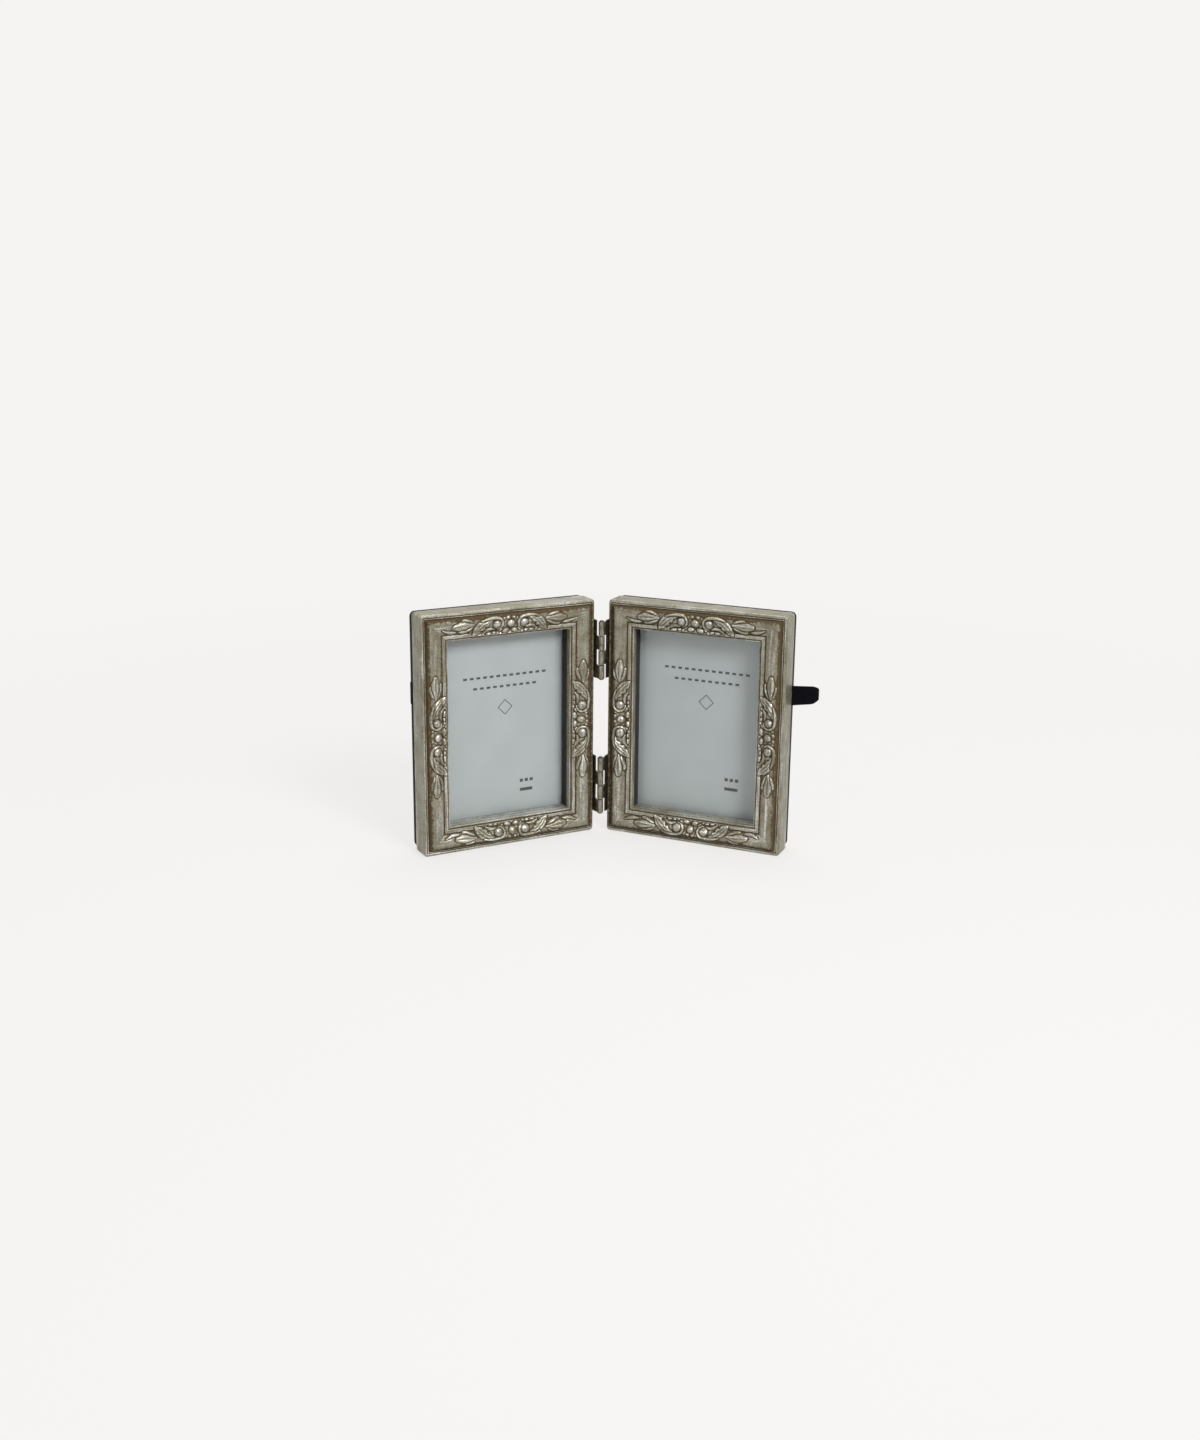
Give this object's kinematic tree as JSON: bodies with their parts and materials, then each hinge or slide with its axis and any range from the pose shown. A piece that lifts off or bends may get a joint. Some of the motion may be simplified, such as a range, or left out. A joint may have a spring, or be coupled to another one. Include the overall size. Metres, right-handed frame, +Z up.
{
  "type": "double photo frame",
  "caption": "Hinged double photo frame with cast scroll-relief panels, glazed windows, butt hinges that let it stand open or fold shut, and lift-out velvet backs with ribbon pull tabs.",
  "frame": {"origin": "on the surface that the frame stands on, under the middle of its box at rest", "axes": "+Z up, +X to the right along the pair as seen from the front, the pictures look towards -Y, hinge pins upright"},
  "size_m": [0.1472, 0.0404, 0.09],
  "materials": {
    "antique_silver": "cast resin with a rubbed antique silver finish and brown antiquing in the hollows",
    "clear_glass": "clear float glass",
    "insert_card": "smooth pale blue-grey card",
    "grey_board": "plain grey board",
    "black_velvet": "short-pile black velvet",
    "black_ribbon": "black woven ribbon",
    "hinge_steel": "dull pewter-toned steel",
    "screw_steel": "dull pewter-toned steel"
  },
  "bodies": {
    "left_panel": {"left_frame": "antique_silver", "left_glass": "clear_glass", "left_card": "insert_card", "lower_left_leaf": "hinge_steel", "upper_left_leaf": "hinge_steel", "lower_pin": "hinge_steel", "upper_pin": "hinge_steel", "lower_left_screw_1": "screw_steel", "lower_left_screw_2": "screw_steel", "upper_left_screw_1": "screw_steel", "upper_left_screw_2": "screw_steel"},
    "right_panel": {"right_frame": "antique_silver", "right_glass": "clear_glass", "right_card": "insert_card", "lower_right_leaf": "hinge_steel", "upper_right_leaf": "hinge_steel", "lower_right_screw_1": "screw_steel", "lower_right_screw_2": "screw_steel", "upper_right_screw_1": "screw_steel", "upper_right_screw_2": "screw_steel"},
    "left_back": {"left_back_board": "grey_board", "left_filler_pad": "grey_board", "left_velvet_cover": "black_velvet", "left_ribbon_tab": "black_ribbon"},
    "right_back": {"right_back_board": "grey_board", "right_filler_pad": "grey_board", "right_velvet_cover": "black_velvet", "right_ribbon_tab": "black_ribbon"}
  },
  "joints": [
    {"name": "panel_fold", "type": "hinge", "parent": "left_panel", "child": "right_panel", "pos_m": [-0.00391, 0.00804, 0.045], "axis": [0, 0, 1], "range_deg": [-128, 52]},
    {"name": "left_back_lift", "type": "slide", "parent": "left_panel", "child": "left_back", "axis": [-0.4384, 0.8988, 0], "range_m": [0, 0.015]},
    {"name": "right_back_lift", "type": "slide", "parent": "right_panel", "child": "right_back", "axis": [0.4384, 0.8988, 0], "range_m": [0, 0.015]}
  ]
}
